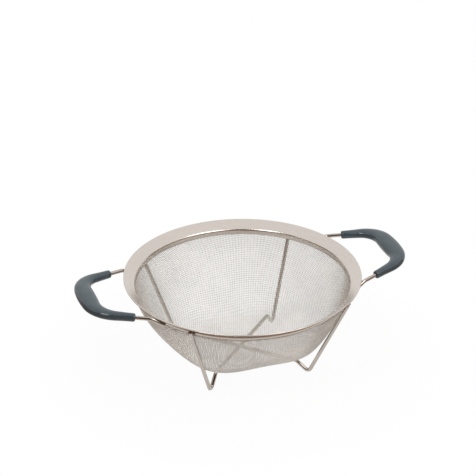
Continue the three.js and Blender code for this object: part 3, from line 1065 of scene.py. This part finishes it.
@dataclass
class Studio:
    """White table and backdrop, soft lamps, sheets of painted shade for the metal to mirror, and the
    photograph's view.
    """

    yaw: float = math.radians(19.38)
    elevation: float = math.radians(28.2)
    distance: float = 1729 * MM
    lens: float = 131.3
    clip_end: float = 50.0
    aim: tuple[float, float, float] = (-4.26 * MM, 1.5 * MM, 136.38 * MM)
    world_light: float = 0.75
    world_shown: float = 1.0
    table_colour: str = "F4F4F4"
    floor_half: float = 4.0
    shadow_share: float = 0.06
    shadow_reach: tuple[float, float] = (0.16, 0.23)
    room_radius: float = 3.0
    room_near: float = 0.24
    room_floor: float = 1 * MM
    room_half_width: float = math.radians(60)
    floor_half_width: float = math.radians(118)
    room_low: float = math.radians(25)
    room_high: float = math.radians(70)
    # Painted shade: dull brown colours of the unlit room behind the camera and of the floor in front of the
    # bowl, which the metal mirrors as dark lines
    shade_wall_colour: str = "5C4438"
    shade_floor_colour: str = "B39C8D"
    wall_steps: int = 16
    screen_steps: int = 24
    lamps: tuple[Softbox, ...] = (
        Softbox("key_softbox", (-0.75, -0.55, 1.35), 0.5, 6.0),
        Softbox("fill_softbox", (0.45, -0.93, 1.2), 0.9, 9.0),
    )
    lamp_aim: tuple[float, float, float] = (0, 0, 50 * MM)

    def build(self) -> None:
        """Set up the camera, the surroundings and the lamps."""
        bpy.context.scene.view_settings.view_transform = "Standard"
        self.camera()
        self.backdrop()
        self.floor()
        self.dark_room()
        for softbox in self.lamps:
            self.hang(softbox)

    def camera(self) -> None:
        """Stand the camera where the photograph was taken."""
        back = Vector(
            (
                -math.sin(self.yaw) * math.cos(self.elevation),
                -math.cos(self.yaw) * math.cos(self.elevation),
                math.sin(self.elevation),
            )
        )
        data = bpy.data.cameras.new("photo_view")
        data.lens = self.lens
        data.clip_end = self.clip_end
        camera = put_in_scene("photo_view", data)
        camera.location = Vector(self.aim) + back * self.distance
        camera.rotation_euler = (-back).to_track_quat("-Z", "Y").to_euler()
        bpy.context.scene.camera = camera

    def seen_directly(self, tree: bpy.types.NodeTree) -> bpy.types.NodeSocket:
        """1 for rays of the camera and for mirrored and refracted ones, and 0 for light on the object."""
        path = add_node(tree, "ShaderNodeLightPath")
        seen = path.outputs["Is Camera Ray"]
        for kind in ("Is Glossy Ray", "Is Transmission Ray"):
            both = {0: seen, 1: path.outputs[kind]}
            seen = add_node(tree, "ShaderNodeMath", {"operation": "MAXIMUM"}, both).outputs[0]
        return seen

    def backdrop(self) -> None:
        """White surroundings, which light the object more softly than they show."""
        world = bpy.data.worlds.new("white_studio")
        world.use_nodes = True
        tree = world.node_tree
        tree.nodes.clear()
        light, shown = (
            add_node(tree, "ShaderNodeBackground", {"Color": linear(WHITE), "Strength": strength})
            for strength in (self.world_light, self.world_shown)
        )
        either = add_node(
            tree,
            "ShaderNodeMixShader",
            links={0: self.seen_directly(tree), 1: light.outputs[0], 2: shown.outputs[0]},
        )
        add_node(tree, "ShaderNodeOutputWorld", links={"Surface": either.outputs[0]})
        bpy.context.scene.world = world

    def floor(self) -> None:
        """White table that keeps a faint shadow under the object and is clean white farther out."""
        material, tree = new_tree("laminate_matt_white")
        board = add_node(tree, "ShaderNodeBsdfDiffuse", {"Color": linear(self.table_colour)})
        white = add_node(tree, "ShaderNodeEmission", {"Color": linear(WHITE), "Strength": 1.0})
        place = add_node(tree, "ShaderNodeTexCoord")
        distance = add_node(
            tree, "ShaderNodeVectorMath", {"operation": "LENGTH"}, {0: place.outputs["Object"]}
        )
        near, far = self.shadow_reach
        clean = add_node(
            tree,
            "ShaderNodeMapRange",
            {"From Min": near, "From Max": far, "To Min": 1 - self.shadow_share, "To Max": 1.0},
            {"Value": distance.outputs["Value"]},
        )
        share = add_node(
            tree,
            "ShaderNodeMath",
            {"operation": "MULTIPLY"},
            {0: self.seen_directly(tree), 1: clean.outputs["Result"]},
        )
        parts = {0: share.outputs[0], 1: board.outputs[0], 2: white.outputs[0]}
        mixed = add_node(tree, "ShaderNodeMixShader", links=parts)
        add_node(tree, "ShaderNodeOutputMaterial", links={"Surface": mixed.outputs[0]})
        reach = self.floor_half
        mesh = bpy.data.meshes.new("table")
        corners = [(-reach, -reach, 0), (reach, -reach, 0), (reach, reach, 0), (-reach, reach, 0)]
        mesh.from_pydata(corners, [], [(0, 1, 2, 3)])
        mesh.materials.append(material)
        table = put_in_scene("table", mesh)

    def dark_room(self) -> None:
        """The unlit room behind the camera and its floor, which bright metal mirrors as dark lines."""
        rises = np.linspace(self.room_low, self.room_high, self.wall_steps + 1)
        wall = self.room_radius * np.column_stack([np.cos(rises), np.sin(rises)])
        self.screen("dark_room", wall, self.room_half_width, self.shade_wall_colour)
        low_edge = wall[0]
        floor = np.array([[self.room_near, self.room_floor], [low_edge[0], self.room_floor], low_edge])
        self.screen("dark_floor", floor, self.floor_half_width, self.shade_floor_colour)

    def screen(self, name: str, profile: np.ndarray, half_width: float, colour: str) -> None:
        """Stand an unlit screen round the camera's side of the bowl, out of the camera's sight.

        Args:
            name: Its name.
            profile: Its section, as distances from the Z axis and heights.
            half_width: Angle from its middle to either edge, seen from above.
            colour: Its colour in sRGB hex.
        """
        # Painted shade: a matt sheet scatters all its light, so that the unlit room and its floor mirror in
        # the metal as one even dark tone
        material, tree = new_tree(f"painted_shade_matt_{name}")
        matt = add_node(tree, "ShaderNodeBsdfDiffuse", {"Color": linear(colour)})
        add_node(tree, "ShaderNodeOutputMaterial", links={"Surface": matt.outputs[0]})
        facing = -math.pi / 2 - self.yaw
        azimuths = np.linspace(facing - half_width, facing + half_width, self.screen_steps + 1)
        points = turned(profile, azimuths)
        index = np.arange(len(azimuths) * len(profile)).reshape(points.shape[:2])
        quads = np.stack([index[:-1, :-1], index[:-1, 1:], index[1:, 1:], index[1:, :-1]], axis=-1)
        mesh = bpy.data.meshes.new(name)
        mesh.from_pydata(points.reshape(-1, 3), [], quads.reshape(-1, 4).tolist())
        mesh.materials.append(material)
        screen = put_in_scene(name, mesh)
        screen.visible_camera = False

    def hang(self, softbox: Softbox) -> None:
        """Hang a softbox that faces the bowl.

        Args:
            softbox: Its place, size and power.
        """
        data = bpy.data.lights.new(softbox.name, "AREA")
        data.size = softbox.size
        data.energy = softbox.power
        lamp = put_in_scene(softbox.name, data)
        lamp.location = softbox.place
        facing = Vector(self.lamp_aim) - Vector(softbox.place)
        lamp.rotation_euler = facing.to_track_quat("-Z", "Y").to_euler()


def main() -> None:
    """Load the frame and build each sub-assembly on it."""
    logging.basicConfig(level=logging.INFO, format="%(name)s: %(message)s", stream=sys.stdout)
    for stale in list(bpy.data.objects):
        bpy.data.objects.remove(stale)
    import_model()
    Studio().build()
    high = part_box("rim_flange")[1]
    rim = Rim(radius=high.x, top=high.z)
    rim.build(BrushedSteel())
    legs = Legs(rim)
    wire = DrawnWire()
    # Weld metal sets in the open: duller and browner than the wire
    weld = DrawnWire(name="stainless_weld_bead", low="A2988D", high="C8BFB5", roughness=0.45)
    legs.build(wire, weld)
    WireCloth(rim, legs).build(WovenWire())
    Handles(rim).build(wire, weld, MouldedPlastic())


if __name__ == "__main__":
    main()
